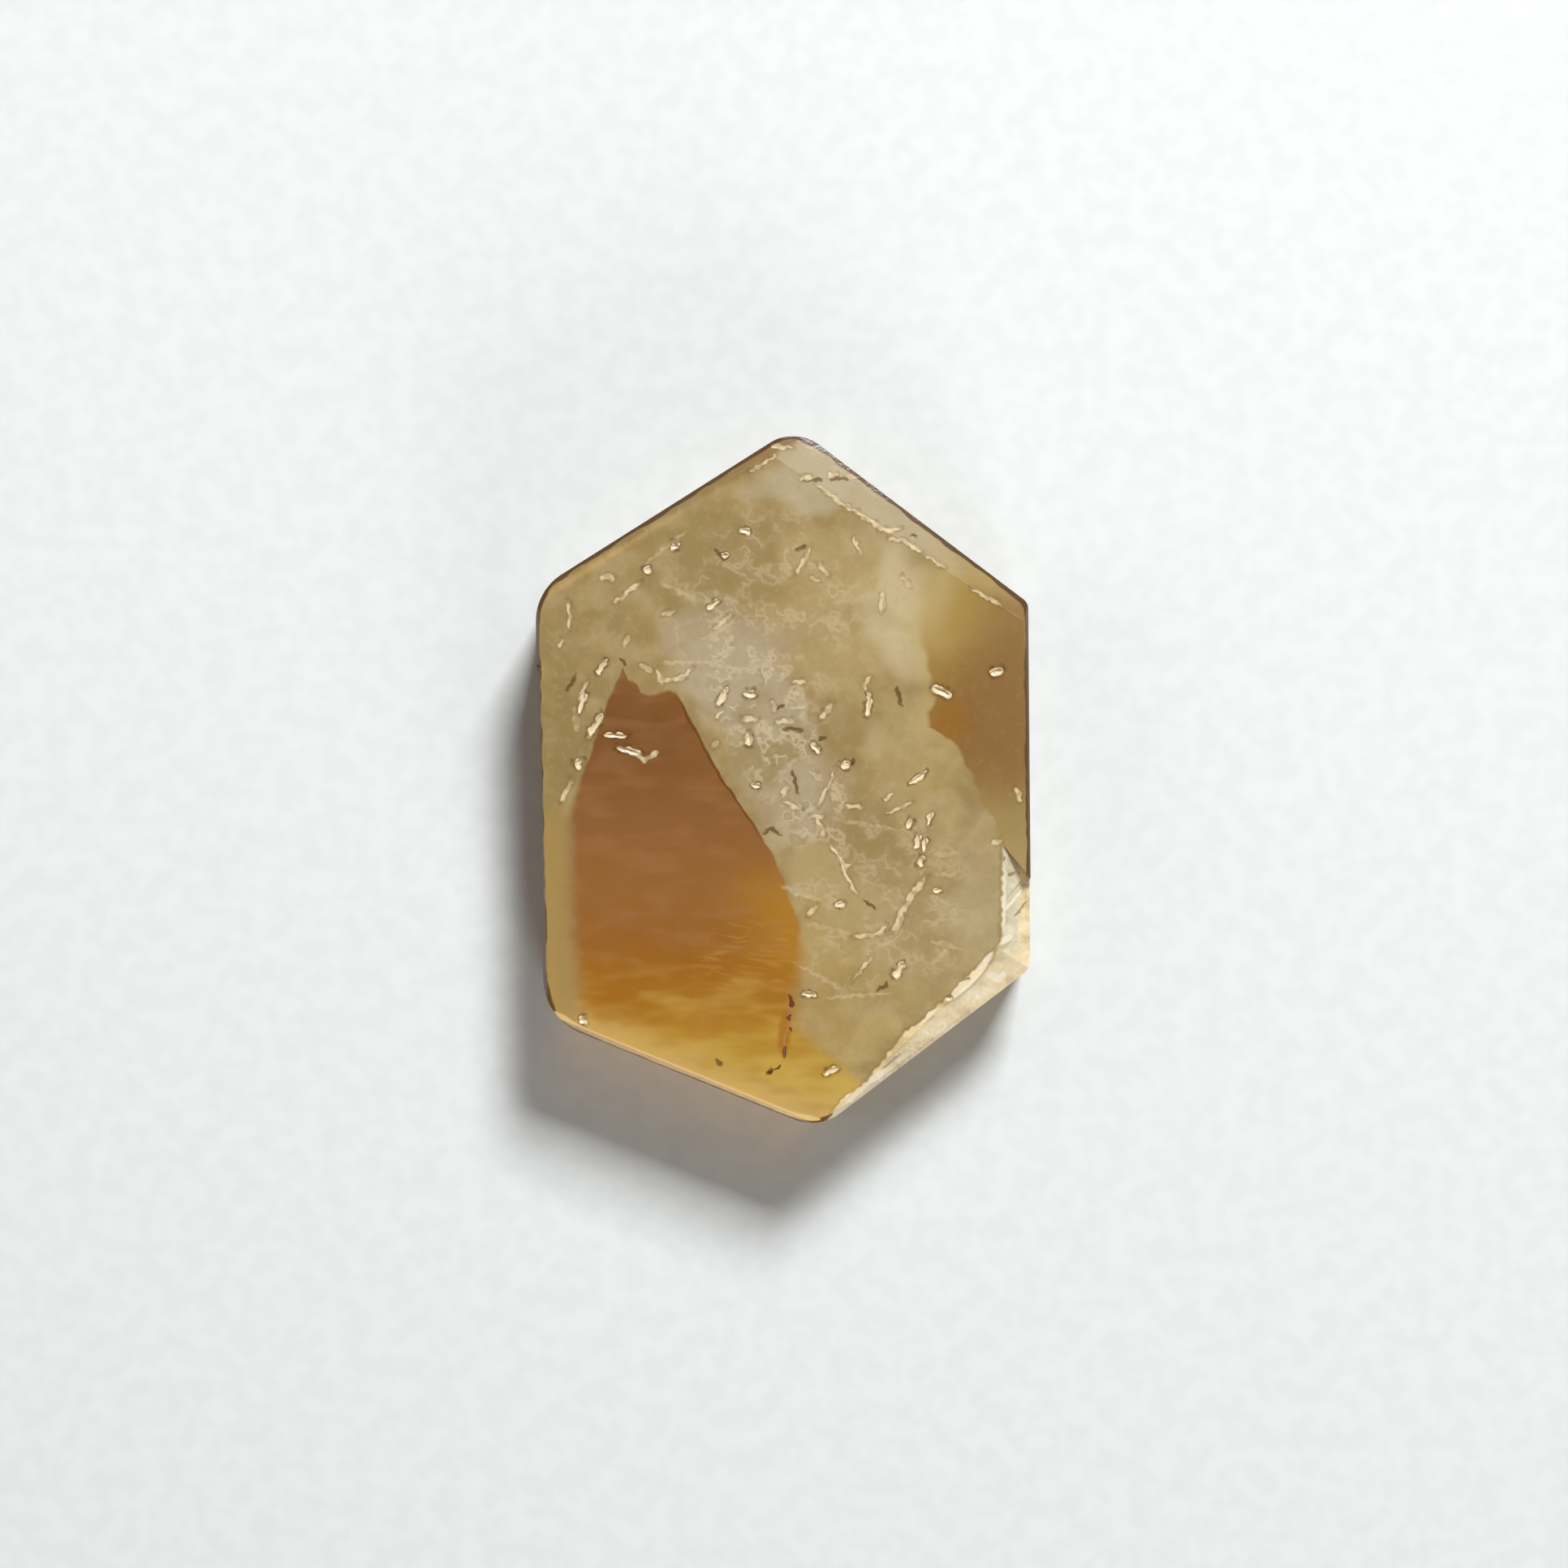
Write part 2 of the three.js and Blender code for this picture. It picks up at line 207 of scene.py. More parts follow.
# Boundaries of the colour zones: for the upright ones X at a Y, and for the red zone's top Y at an X.
RED_LEFT = ((2.36, -3.39), (1.2, -3.85), (-0.17, -4.33), (-0.77, -4.51), (-2.74, -4.5), (-5, -4.3))
RED_TOP = (
    (-3.39, 2.36), (-3.29, 2.09), (-3.12, 2.03), (-3.02, 1.83), (-2.83, 1.74), (-2.4, 1.85), (-2.23, 1.78),
)
COLUMN_RIGHT = (
    (1.78, -2.23), (0.94, -1.8), (0, -1.29), (-0.85, -0.69), (-1.54, -0.26), (-2.14, -0.01), (-3.08, 0.33),
    (-3.76, 0.42), (-4.7, 0.25), (-5.2, 0.28), (-5.64, 0.75), (-5.98, 1.2), (-6.4, 1.65),
)
RIGHT_ZONE = (
    (4.44, 3.35), (4.22, 3.12), (3.76, 3.03), (3.28, 2.92), (2.92, 2.95), (2.51, 3.03), (2.1, 3.09),
    (1.69, 3.19), (1.4, 3.05), (1.11, 3.07), (0.94, 3.41), (0.68, 3.67), (0, 4.01), (-0.51, 4.18),
    (-0.85, 4.44), (-1.45, 4.61), (-2.05, 5.12),
)
FROST_INNER = (
    (-1.45, 4.62), (-3.42, 4.6), (-3.73, 4.28), (-4.56, 3.48), (-5.16, 2.81), (-5.3, 2.57), (-6.38, 1.74),
    (-6.74, 1.24), (-7.25, 0.85),
)

# Screen colours, from 0 to 255, of the smaller marks, which the settings leave out; among them are painted
# highlights and painted shade.
TONES = {
    "facet_pale": (192, 178, 146), "facet_brown": (140, 106, 60), "rust": (140, 101, 58),
    "amber": (152, 108, 44), "umber": (145, 113, 68), "straw": (192, 170, 116), "ember": (163, 108, 32),
    "bright_gold": (210, 178, 92), "dark_gold": (164, 110, 24), "rosy": (176, 128, 84),
    "seam": (96, 56, 26), "silk": (204, 158, 74), "dark_thread": (136, 112, 72),
    "light_thread": (218, 203, 168), "scratch": (220, 204, 166), "crevice": (96, 70, 30),
    "tube_edge": (114, 88, 44), "tube": (230, 212, 170), "pit_edge": (86, 58, 22), "halo": (168, 108, 32),
    "iron": (92, 48, 12), "cream": (232, 215, 166), "frost_dark": (178, 158, 116),
    "frost_light": (244, 236, 208), "chip_edge": (150, 124, 78), "chip": (246, 234, 200),
    "fleck": (122, 100, 66), "glint": (248, 240, 216), "frost_seam": (120, 98, 56),
    "rim_light": (232, 206, 146),
}

# Colours up the zones: a Y, and the screen colour there.
COLUMN_TONES = (
    (-7.2, (198, 171, 104)), (-6.4, (198, 168, 82)), (-5.6, (189, 152, 62)), (-5, (178, 130, 46)),
    (-4.5, (166, 115, 36)), (-3.9, (160, 105, 34)), (-3.3, (155, 103, 44)), (-2.5, (154, 106, 52)),
    (-0.9, (146, 99, 54)), (1, (128, 85, 44)), (2.4, (132, 90, 50)),
)
RIGHT_TONES = (
    (-2, (178, 154, 102)), (-1, (165, 143, 91)), (-0.3, (160, 135, 82)), (0.4, (152, 120, 68)),
    (1.2, (152, 114, 58)), (2, (158, 127, 66)), (2.9, (170, 143, 80)), (4.4, (174, 147, 82)),
)

# Strokes: place, length, breadth and turn in degrees of each.
CLEAR_STROKES = (
    (-4.25, 1.79, 0.55, 0.08, 70), (-2.9, 2.33, 0.28, 0.08, -32), (-2.6, 2.17, 0.33, 0.07, -67),
    (-2.38, 2.09, 0.49, 0.07, 5), (-2.09, 2.2, 0.37, 0.07, 37), (-3.03, 0.5, 0.37, 0.08, -51),
    (-2.83, 0.47, 0.4, 0.08, 27), (-4.58, -0.24, 0.44, 0.08, 66), (0.32, 2.05, 0.26, 0.08, 0),
    (0.04, 1.22, 0.33, 0.08, 5), (-0.72, 1.26, 0.31, 0.08, 0), (-1.34, 1.36, 0.24, 0.06, 49),
    (-0.22, 1.52, 0.22, 0.08, -81), (-1.45, 0.74, 0.2, 0.08, 53), (0.9, 1.43, 0.39, 0.08, 58),
    (0.68, -0.79, 0.32, 0.07, 0), (0.77, -0.97, 0.47, 0.08, -69), (0.03, -0.24, 0.24, 0.07, 76),
    (0.18, -0.56, 0.37, 0.08, -30), (0.91, -0.19, 0.79, 0.06, 65), (1.49, -0.58, 0.3, 0.07, 0),
    (2.22, -0.37, 0.22, 0.07, 45), (2.43, -0.61, 0.52, 0.07, 23), (2.77, -2.37, 0.67, 0.1, 54),
    (2.49, -2.86, 0.77, 0.1, 66), (2.07, -3.2, 0.29, 0.07, 49), (1.8, -3.29, 0.59, 0.07, 7),
    (1.32, -1.83, 0.21, 0.07, 18), (1.12, -1.54, 0.38, 0.07, -50), (1.25, -1.79, 0.44, 0.07, -74),
    (1.39, -2.14, 0.57, 0.07, -61), (-3.29, 3.93, 0.58, 0.07, 39), (-3.71, 4.25, 0.29, 0.1, -6),
    (-2.43, 3.5, 0.3, 0.07, 15), (-3.32, 2.91, 0.26, 0.08, 60), (-1.28, 3.32, 0.45, 0.07, 39),
    (-4.52, 3.45, 0.54, 0.07, 90), (-4.69, 2.86, 0.19, 0.07, 68), (2.41, 5.04, 0.34, 0.07, -9),
    (2.68, 4.93, 0.49, 0.07, -31), (0.99, 5.99, 0.63, 0.07, -36), (1.51, 5.64, 0.89, 0.07, -31),
    (1.99, 5.34, 0.46, 0.07, -35), (2.26, 5.25, 0.39, 0.07, 7), (0.48, 6.35, 0.24, 0.08, 8),
    (1.05, 6.41, 0.2, 0.07, 0), (1.44, 6.41, 0.22, 0.07, 0), (-0.07, 7.02, 0.45, 0.07, -9),
    (-0.42, 6.65, 0.57, 0.06, 32), (3.21, 4.57, 0.42, 0.06, -36), (4.28, 3.83, 0.62, 0.07, -30),
    (1.74, 2.05, 0.28, 0.07, 53), (1.74, 1.88, 0.32, 0.07, -55), (2.08, 3.74, 0.41, 0.07, 83),
    (1.56, 4.91, 0.36, 0.06, -67), (0.43, 4.61, 0.57, 0.06, 61), (0.83, 4.43, 0.33, 0.07, -51),
    (0.66, 4.21, 0.24, 0.06, -27), (2.58, 4.15, 0.29, 0.06, -52), (1.66, -3.99, 0.59, 0.06, 51),
    (0.6, -2.78, 0.3, 0.07, 52), (4.95, -0.34, 0.28, 0.1, -76), (4.49, -1.32, 0.18, 0.08, 14),
)
FAINT_STROKES = (
    (-2.1, 2.46, 0.89, 0.07, 3), (-1.15, 2.36, 1.42, 0.07, -11), (-4.37, 1.26, 0.51, 0.1, -85),
    (0.38, 1.59, 0.83, 0.17, -82), (-0.01, 0.17, 0.64, 0.1, 45), (1.79, -0.97, 1.25, 0.07, -9),
    (3.44, -1.58, 0.51, 0.07, 2), (3.41, -2.01, 0.43, 0.09, 3), (0.5, -2.46, 0.66, 0.07, -15),
    (0.97, -3.16, 0.95, 0.07, -13), (0.72, -4.15, 1.05, 0.07, -29), (1.53, -4.57, 1.39, 0.05, 4),
    (-2.23, 3.97, 0.73, 0.09, -27), (-2.49, 4.87, 1.03, 0.07, 37), (3.28, -3.74, 0.47, 0.09, 41),
    (0.15, -2.32, 0.4, 0.07, -18), (3.45, -3.5, 0.66, 0.08, -15), (2.2, -3.45, 0.5, 0.07, 30),
)
DARK_STROKES = (
    (-1.29, 4.7, 0.24, 0.12, -18), (-1.38, 4.77, 0.2, 0.07, -63), (0.39, 4.88, 0.27, 0.1, 36),
    (0.64, 6.3, 0.41, 0.07, 3), (1.16, 6.32, 0.39, 0.07, 0), (-3.92, 5.04, 0.19, 0.14, -45),
    (0.23, -0.05, 0.54, 0.07, -76), (0.81, 0.86, 0.2, 0.07, 27), (1.47, 0.38, 0.18, 0.07, 59),
    (1.82, -2.65, 0.36, 0.09, -45), (2.09, -4.38, 0.29, 0.09, 34), (-0.34, -1.08, 0.28, 0.07, 34),
    (-0.16, -1.11, 0.33, 0.07, -27), (-4.47, 2.02, 0.39, 0.09, 60), (-3.37, 2.48, 0.24, 0.07, -41),
    (2.43, 1.74, 0.48, 0.09, -76), (-1.38, -5.97, 0.17, 0.1, -56), (-0.3, -6.16, 0.2, 0.1, 37),
    (-0.07, 1.53, 0.23, 0.07, 36), (0.21, 1.05, 0.47, 0.09, -3),
)
IRON_CRACK = (
    (0.16, -4.69, 0.27, 0.09, -77), (0.12, -5.02, 0.16, 0.05, 45), (0.15, -5.25, 0.12, 0.05, -80),
    (0.02, -5.74, 0.24, 0.07, 85), (-0.12, -6.08, 0.2, 0.05, 40), (-0.3, -6.17, 0.1, 0.08, 30),
)

# Bright and dark marks on the rough facet, given in the same way.
GLINTS = (
    (4.28, -3.73, 0.24, 0.16, 50), (4.47, -4.19, 0.36, 0.14, -20), (4.63, -4.14, 0.16, 0.1, 40),
    (4.69, -3.38, 0.3, 0.09, 35), (4.1, -4.6, 0.14, 0.07, 40), (3.03, -5, 0.44, 0.06, 45),
    (4.63, -2.45, 1.2, 0.08, 90), (4.85, -2.55, 0.5, 0.05, 50),
)
FLECKS = (
    (4.6, -1.76, 0.3, 0.06, 60), (4.81, -2, 0.16, 0.08, 20), (2.27, -5.95, 0.5, 0.05, 40),
    (2.8, -5.05, 0.16, 0.06, 60), (3.85, -4.2, 0.18, 0.07, 10), (5, -2.75, 0.4, 0.04, 50),
)

# ---- stage, in metres

# The camera is straight above the front face, as high as its view of 33 mm across needs.
CAMERA_PLACE = (0.0000085, -0.0001026, 0.0802)
CAMERA = {"lens": 85, "sensor_width": 36, "clip_start": 0.001, "clip_end": 10}
# Each lamp's name, place, size and power in watts.
LAMPS = (
    ("key", (0.08, 0.215, 0.18), 0.09, 2.05),
    ("side", (-0.24, 0.02, 0.16), 0.14, 0.12),
    ("glint", (0.12, -0.3, 0.09), 0.13, 0.74),
)
SKY_COLOUR = (1, 0.99, 0.95, 1)
SKY_STRENGTH = 0.23
ZENITH_STRENGTH = 0.03
# How far up the sky begins to darken and is at its darkest: 0 is level and 1 straight above.
ZENITH = (0.86, 0.96)
FLOOR_SIZE = 1.2
FLOOR_HEIGHT = -0.01 * MM
FLOOR_ROUGHNESS = 0.9
FLOOR_TONES = ((176, 179, 179), (180, 183, 183))


def linear(screen_colour):
    """The linear colour of a screen colour given from 0 to 255."""
    return tuple(((part / 255 + 0.055) / 1.055) ** 2.4 for part in screen_colour)


def corner(i):
    """The sharp corner that side i starts from, in the plane of the slice."""
    return Vector(CORNERS[i % len(CORNERS)][0])


def outward(start, end):
    """The direction square to a line, away from a slice that lies on its right."""
    along = (end - start).normalized()
    return Vector((-along.y, along.x))


def rim_ridge(rim, i):
    """Where the rim facet of side i meets the face: its two ends."""
    first, last, _ = rim[i]
    away = outward(corner(i), corner(i + 1))
    return corner(i) - away * first, corner(i + 1) - away * last


# ---- modelling by hand


def only(piece):
    """Makes a piece the one that the next operators act on."""
    bpy.ops.object.select_all(action="DESELECT")
    piece.select_set(True)
    bpy.context.view_layer.objects.active = piece


def place_piece(piece):
    """Moves a primitive's place, turn and size into its mesh."""
    only(piece)
    bpy.ops.object.transform_apply(location=True, rotation=True, scale=True)
    return piece


def edit_all():
    bpy.ops.object.mode_set(mode="EDIT")
    bpy.ops.mesh.select_all(action="SELECT")


def stop_editing():
    bpy.ops.object.mode_set(mode="OBJECT")


def select_parts(piece, kind, wanted):
    """Selects, in edit mode, the vertices or edges that pass a test."""
    bpy.ops.object.mode_set(mode="EDIT")
    bpy.ops.mesh.select_mode(type=kind)
    bpy.ops.mesh.select_all(action="DESELECT")
    stop_editing()
    parts = piece.data.vertices if kind == "VERT" else piece.data.edges
    for part in parts:
        part.select = wanted(part)
    bpy.ops.object.mode_set(mode="EDIT")


def prism(name, points, height):
    """An upright block on a polygon of points, which may lie in a slanting plane."""
    bpy.ops.mesh.primitive_circle_add(vertices=len(points), radius=1, fill_type="NGON")
    block = bpy.context.active_object
    block.name = name
    for i, point in enumerate(points):
        select_parts(block, "VERT", lambda vertex: vertex.index == i)
        bpy.ops.transform.translate(value=Vector(point) - block.data.vertices[i].co)
        stop_editing()
    edit_all()
    bpy.ops.mesh.extrude_region_move(TRANSFORM_OT_translate={"value": (0, 0, height)})
    bpy.ops.mesh.select_all(action="SELECT")
    bpy.ops.mesh.normals_make_consistent(inside=False)
    stop_editing()
    return block


def round_corners(piece):
    """Rounds each upright edge of the blank by its corner's own reach."""
    for place, reach in CORNERS:
        middle = Vector(place)

        def upright(edge):
            ends = [piece.data.vertices[i].co.to_2d() for i in edge.vertices]
            return all((end - middle).length < MERGE for end in ends)

        select_parts(piece, "EDGE", upright)
        bpy.ops.mesh.bevel(offset=reach, segments=CORNER_STEPS, affect="EDGES")
        stop_editing()


def grind(piece, start, end, height, tilt, up):
    """Grinds a facet that falls away from a ridge, and closes the cut with a new face."""
    away = outward(start, end)
    angle = math.radians(tilt)
    normal = (away.x * math.sin(angle), away.y * math.sin(angle), up * math.cos(angle))
    only(piece)
    edit_all()
    bpy.ops.mesh.bisect(
        plane_co=(start.x, start.y, height),
        plane_no=normal,
        use_fill=True,
        clear_outer=True,
        threshold=MERGE,
    )
    stop_editing()


def grind_rim(piece, rim, height, up):
    """Grinds one facet along each side of the rim of one face."""
    for i, (_, _, tilt) in enumerate(rim):
        start, end = rim_ridge(rim, i)
        grind(piece, start, end, height, tilt, up)


def modify(piece, name, kind, **settings):
    """Gives a piece a modifier with its settings, and applies it."""
    only(piece)
    modifier = piece.modifiers.new(name, kind)
    for key, setting in settings.items():
        setattr(modifier, key, setting)
    bpy.ops.object.modifier_apply(modifier=modifier.name)


def subtract(piece, cutters, name):
    """Joins the cutters in one and takes them out of the piece."""
    only(cutters[0])
    for cutter in cutters:
        cutter.select_set(True)
    if len(cutters) > 1:
        bpy.ops.object.join()
    tool = bpy.context.active_object
    modify(piece, name, "BOOLEAN", operation="DIFFERENCE", solver="EXACT", use_self=True, object=tool)
    bpy.data.objects.remove(tool)


def flake(ridge, tilt, outline):
    """A cutter whose slanting floor is the break that a lost flake leaves."""
    end, start = (Vector(point) for point in ridge)
    away = outward(start, end)
    fall = math.tan(math.radians(tilt))
    points = []
    for x, y in outline:
        drop = (Vector((x, y)) - start).dot(away) * fall
        points.append((x, y, THICKNESS - drop))
    return prism("flake", points, CUTTER_HEIGHT)


def roughen(piece, reach, seed):
    """Brings a cutter's size and turn into its mesh, and makes its surface uneven."""
    place_piece(piece)
    edit_all()
    bpy.ops.transform.vertex_random(offset=reach, uniform=0.2, normal=0.8, seed=seed)
    stop_editing()
    return piece


def pit(place, height, seed):
    """A cutter for one open pit: an uneven little bubble, longer than it is broad."""
    x, y, length, breadth, depth, turn = place
    bpy.ops.mesh.primitive_ico_sphere_add(
        subdivisions=3,
        radius=1,
        location=(x, y, height),
        rotation=(0, 0, math.radians(turn)),
        scale=(length / 2, breadth / 2, depth * PIT_REACH),
    )
    return roughen(bpy.context.active_object, breadth * PIT_ROUGHNESS, seed)


def nick(place, height, seed):
    """A cutter for one nick in the rim: a small angular stone."""
    x, y, radius = place
    bpy.ops.mesh.primitive_ico_sphere_add(
        subdivisions=2, radius=radius, location=(x, y, height), rotation=(seed, 0, 2 * seed)
    )
    return roughen(bpy.context.active_object, radius * NICK_ROUGHNESS, seed)


def groove(width, start, end):
    """A cutter for one straight stretch of a fracture."""
    start, end = Vector(start), Vector(end)
    along = end - start
    middle = (start + end) / 2
    bpy.ops.mesh.primitive_cylinder_add(
        vertices=8,
        radius=width / 2,
        depth=along.length + width / 2,
        location=(middle.x, middle.y, THICKNESS + width * GROOVE_RISE),
        rotation=(math.pi / 2, 0, math.atan2(along.y, along.x) + math.pi / 2),
    )
    return place_piece(bpy.context.active_object)


def ease_edges(piece, width):
    """Takes the sharpness off every edge, so that it catches a line of light."""
    least = math.radians(EASE_ANGLE)
    modify(piece, "ease", "BEVEL", width=width, segments=2, limit_method="ANGLE", angle_limit=least)


def flatten_shading(piece):
    """Keeps the broad polished faces flat, and leaves the turn of the light to the eased edges."""
    modify(piece, "flatten", "WEIGHTED_NORMAL", mode="FACE_AREA", weight=FACE_WEIGHT, keep_sharp=True)


def to_metres(piece):
    """Brings a piece from millimetres to metres, with its place in its mesh."""
    piece.scale = (MM, MM, MM)
    place_piece(piece)


# ---- shader values


class Value:
    """A node socket that can be calculated with, since each operator adds a Math node."""

    def __init__(self, nodes, socket):
        self.nodes = nodes
        self.socket = socket

    def __add__(self, other):
        return self.nodes.math("ADD", self, other)

    def __sub__(self, other):
        return self.nodes.math("SUBTRACT", self, other)

    def __rsub__(self, other):
        return self.nodes.math("SUBTRACT", other, self)

    def __rtruediv__(self, other):
        return self.nodes.math("DIVIDE", other, self)

    def __mul__(self, other):
        return self.nodes.math("MULTIPLY", self, other)

    def __truediv__(self, other):
        return self.nodes.math("DIVIDE", self, other)

    def __abs__(self):
        return self.nodes.math("ABSOLUTE", self)

    def step(self, low, high, end=1.0, start=0.0):
        """Goes smoothly from start to end as this value goes from low to high."""
        return self.nodes.slope(self, low, high, end, start, "SMOOTHSTEP")

    def over(self, amount, tone):
        """Lays a named tone of the crystal over this colour by an amount up to 1."""
        return self.nodes.mix(amount, self, self.nodes.tone(tone))


class Nodes:
    """Adds nodes to one material and gives their outputs as values."""

    def __init__(self, tree):
        self.tree = tree

    def add(self, kind, settings=None, inputs=None, output=0):
        """One shader node of any kind: its settings first, then what its sockets hold or take."""
        node = self.tree.nodes.new("ShaderNode" + kind)
        for name, setting in (settings or {}).items():
            if name == "stops":
                self.set_stops(node.color_ramp.elements, setting)
            else:
                setattr(node, name, setting)
        for name, held in (inputs or {}).items():
            if isinstance(held, Value):
                self.tree.links.new(held.socket, node.inputs[name])
            else:
                node.inputs[name].default_value = held
        return Value(self, node.outputs[output])

    @staticmethod
    def set_stops(elements, stops):
        elements[0].position, elements[0].color = stops[0]
        elements[1].position, elements[1].color = stops[-1]
        for position, colour in stops[1:-1]:
            elements.new(position).color = colour

    def math(self, operation, first, second=0.0, third=0.0):
        return self.add("Math", {"operation": operation}, {0: first, 1: second, 2: third})

    def vector(self, operation, first, second=(0, 0, 0), third=(0, 0, 0), output=0):
        inputs = {0: first, 1: second, 2: third}
        return self.add("VectorMath", {"operation": operation}, inputs, output)

    def stretched(self, vector, *factors):
        return self.vector("MULTIPLY", vector, factors)

    def scaled(self, vector, factor):
        return self.add("VectorMath", {"operation": "SCALE"}, {0: vector, "Scale": factor})

    def parts(self, vector, kind="SeparateXYZ"):
        """The three numbers of a vector, or of a colour with the colour kind of node."""
        node = self.add(kind, None, {0: vector}).socket.node
        return tuple(Value(self, output) for output in node.outputs)

    def joined(self, x, y, z=0.0):
        return self.add("CombineXYZ", None, {0: x, 1: y, 2: z})

    def slope(self, value, low, high, end=1.0, start=0.0, kind="LINEAR"):
        """Goes evenly from start to end as a value goes from low to high."""
        inputs = {"Value": value, "From Min": low, "From Max": high, "To Min": start, "To Max": end}
        return self.add("MapRange", {"interpolation_type": kind}, inputs)

    def bend(self, value, points):
        """A line of straight stretches through points, each a value and the result there."""
        result = None
        for (low, start), (high, end) in zip(points, points[1:]):
            if result is None:
                result = self.slope(value, low, high, end, start)
            else:
                result = result + self.slope(value, low, high, end - start)
        return result

    def larger(self, first, second):
        return self.math("MAXIMUM", first, second)

    def mix(self, amount, first, second, blend="MIX"):
        settings = {"data_type": "RGBA", "blend_type": blend}
        return self.add("Mix", settings, {0: amount, 6: first, 7: second}, output=2)

    def noise(self, place, scale, detail, roughness=0.5, output="Fac"):
        inputs = {"Vector": place, "Scale": scale, "Detail": detail, "Roughness": roughness}
        return self.add("TexNoise", None, inputs, output)

    def wander(self, place, scale, reach, detail):
        """Two uneven shifts of up to about half the reach each way."""
        colour = self.noise(place, scale, detail, output="Color")
        east, north, _ = self.parts(colour, "SeparateColor")
        return (east - 0.5) * reach, (north - 0.5) * reach

    def tones(self, value, stops):
        """A colour that changes along a value, through screen colours at given places."""
        low, high = stops[0][0], stops[-1][0]
        ramp = [((place - low) / (high - low), rgba(linear(tone))) for place, tone in stops]
        share = self.slope(value, low, high)
        return self.add("ValToRGB", {"stops": ramp}, {"Fac": share})

    def oval(self, flat, x, y, half_length, half_breadth, turn):
        """How far out a place is in an oval, squared: 0 in the middle and 1 on the rim."""
        angle = math.radians(turn)
        along = Vector((math.cos(angle), math.sin(angle))) / half_length
        across = Vector((-math.sin(angle), math.cos(angle))) / half_breadth
        middle = Vector((x, y))
        first = self.vector("DOT_PRODUCT", flat, (*along, -along.dot(middle)), output=1)
        second = self.vector("DOT_PRODUCT", flat, (*across, -across.dot(middle)), output=1)
        return self.math("MULTIPLY_ADD", first, first, second * second)

    def patch(self, flat, place, edge, core, strength=1.0):
        """How much a soft oval covers: its strength within the core, and nothing past the edge."""
        return self.oval(flat, *place).step(edge, core, strength)

    def nearest_stroke(self, x, y, strokes):
        """How far out a place is in the nearest of many thin rods, squared: 1 on its rim.

        Three strokes are worked out at a time, one in each part of a vector.
        """
        east = self.joined(x, x, x)
        north = self.joined(y, y, y)
        nearest = None
        for i in range(0, len(strokes), 3):
            trio = (strokes[i : i + 3] + (strokes[i],) * 2)[:3]
            lines = []
            for size, quarter in ((2, 0), (3, 90)):
                turns = [math.radians(stroke[4] + quarter) for stroke in trio]
                easts = [math.cos(turn) * 2 / s[size] for turn, s in zip(turns, trio)]
                norths = [math.sin(turn) * 2 / s[size] for turn, s in zip(turns, trio)]
                starts = [-s[0] * e - s[1] * n for s, e, n in zip(trio, easts, norths)]
                line = self.vector("MULTIPLY_ADD", east, easts, starts)
                lines.append(self.vector("MULTIPLY_ADD", north, norths, line))
            along, across = (self.vector("MULTIPLY", line, line) for line in lines)
            reach = self.vector("MULTIPLY_ADD", along, along, across)
            nearest = reach if nearest is None else self.vector("MINIMUM", nearest, reach)
        first, second, third = self.parts(nearest)
        return self.math("MINIMUM", self.math("MINIMUM", first, second), third)

    def outside(self, flat, start, end):
        """How far a place is outside a line, in millimetres, and below 0 on its right."""
        away = outward(start, end)
        return self.vector("DOT_PRODUCT", flat, (*away, -away.dot(start)), output=1)


def rgba(colour):
    return (*colour, 1.0)


# ---- settings


def colour_property(name, description, screen_colour):
    return bpy.props.FloatVectorProperty(
        name=name,
        description=description,
        default=linear(screen_colour),
        size=3,
        min=0,
        max=1,
        subtype="COLOR",
    )


def width_property(name, description, width):
    return bpy.props.FloatProperty(
        name=name,
        description=description,
        default=width,
        min=0,
        precision=6,
        subtype="DISTANCE",
        unit="LENGTH",
    )


class SliceSizes(bpy.types.PropertyGroup):
    """Sizes of the slice's wear and finish."""

    edge_ease: width_property("Edge ease", "Width of the worn line along every edge", 0.03 * MM)
    # The dark line round the front face is painted shade.
    rim_shade_width: width_property("Rim line", "Width of the dark line round the front face", 0.085 * MM)


class SliceColours(bpy.types.PropertyGroup):
    """Colours of the zones of the crystal and of its finishes."""

    body: colour_property("Body", "Beige of most of the crystal", (171, 149, 101))
    shade: colour_property("Shade", "Brownish beige cloud", (158, 137, 90))
    deep: colour_property("Deep", "Olive beige along the left side", (149, 129, 80))
    warm: colour_property("Warm", "Warm beige of the middle", (189, 169, 121))
    fair: colour_property("Fair", "Beige of the lower right", (177, 159, 113))
    veil: colour_property("Veil", "Grey milky band across the middle", (184, 169, 139))
    mist: colour_property("Mist", "Lightest spot of the milky band", (202, 187, 156))
    pale: colour_property("Pale", "Light band on the right", (207, 194, 154))
    blush: colour_property("Blush", "Pinkish beige under the top apex", (190, 177, 144))
    fringe: colour_property("Fringe", "Straw colour beside the right zone", (188, 166, 108))
    orange: colour_property("Orange", "Brightest orange of the red zone", (178, 130, 42))
    gold: colour_property("Gold", "Pale gold along the lower left side", (198, 169, 100))
    olive: colour_property("Olive", "Greenish gold strip on the left", (169, 143, 85))
    frost: colour_property("Frost", "Cream of the rough lower right facet", (213, 207, 178))
    # Painted highlight: the cream core of the pits.
    stroke: colour_property("Stroke", "Cream of the pits and growth tubes", (248, 230, 190))
    # Painted shade: the dark line round the front face.
    rim: colour_property("Rim", "Dark brown line round the front face", (74, 46, 6))


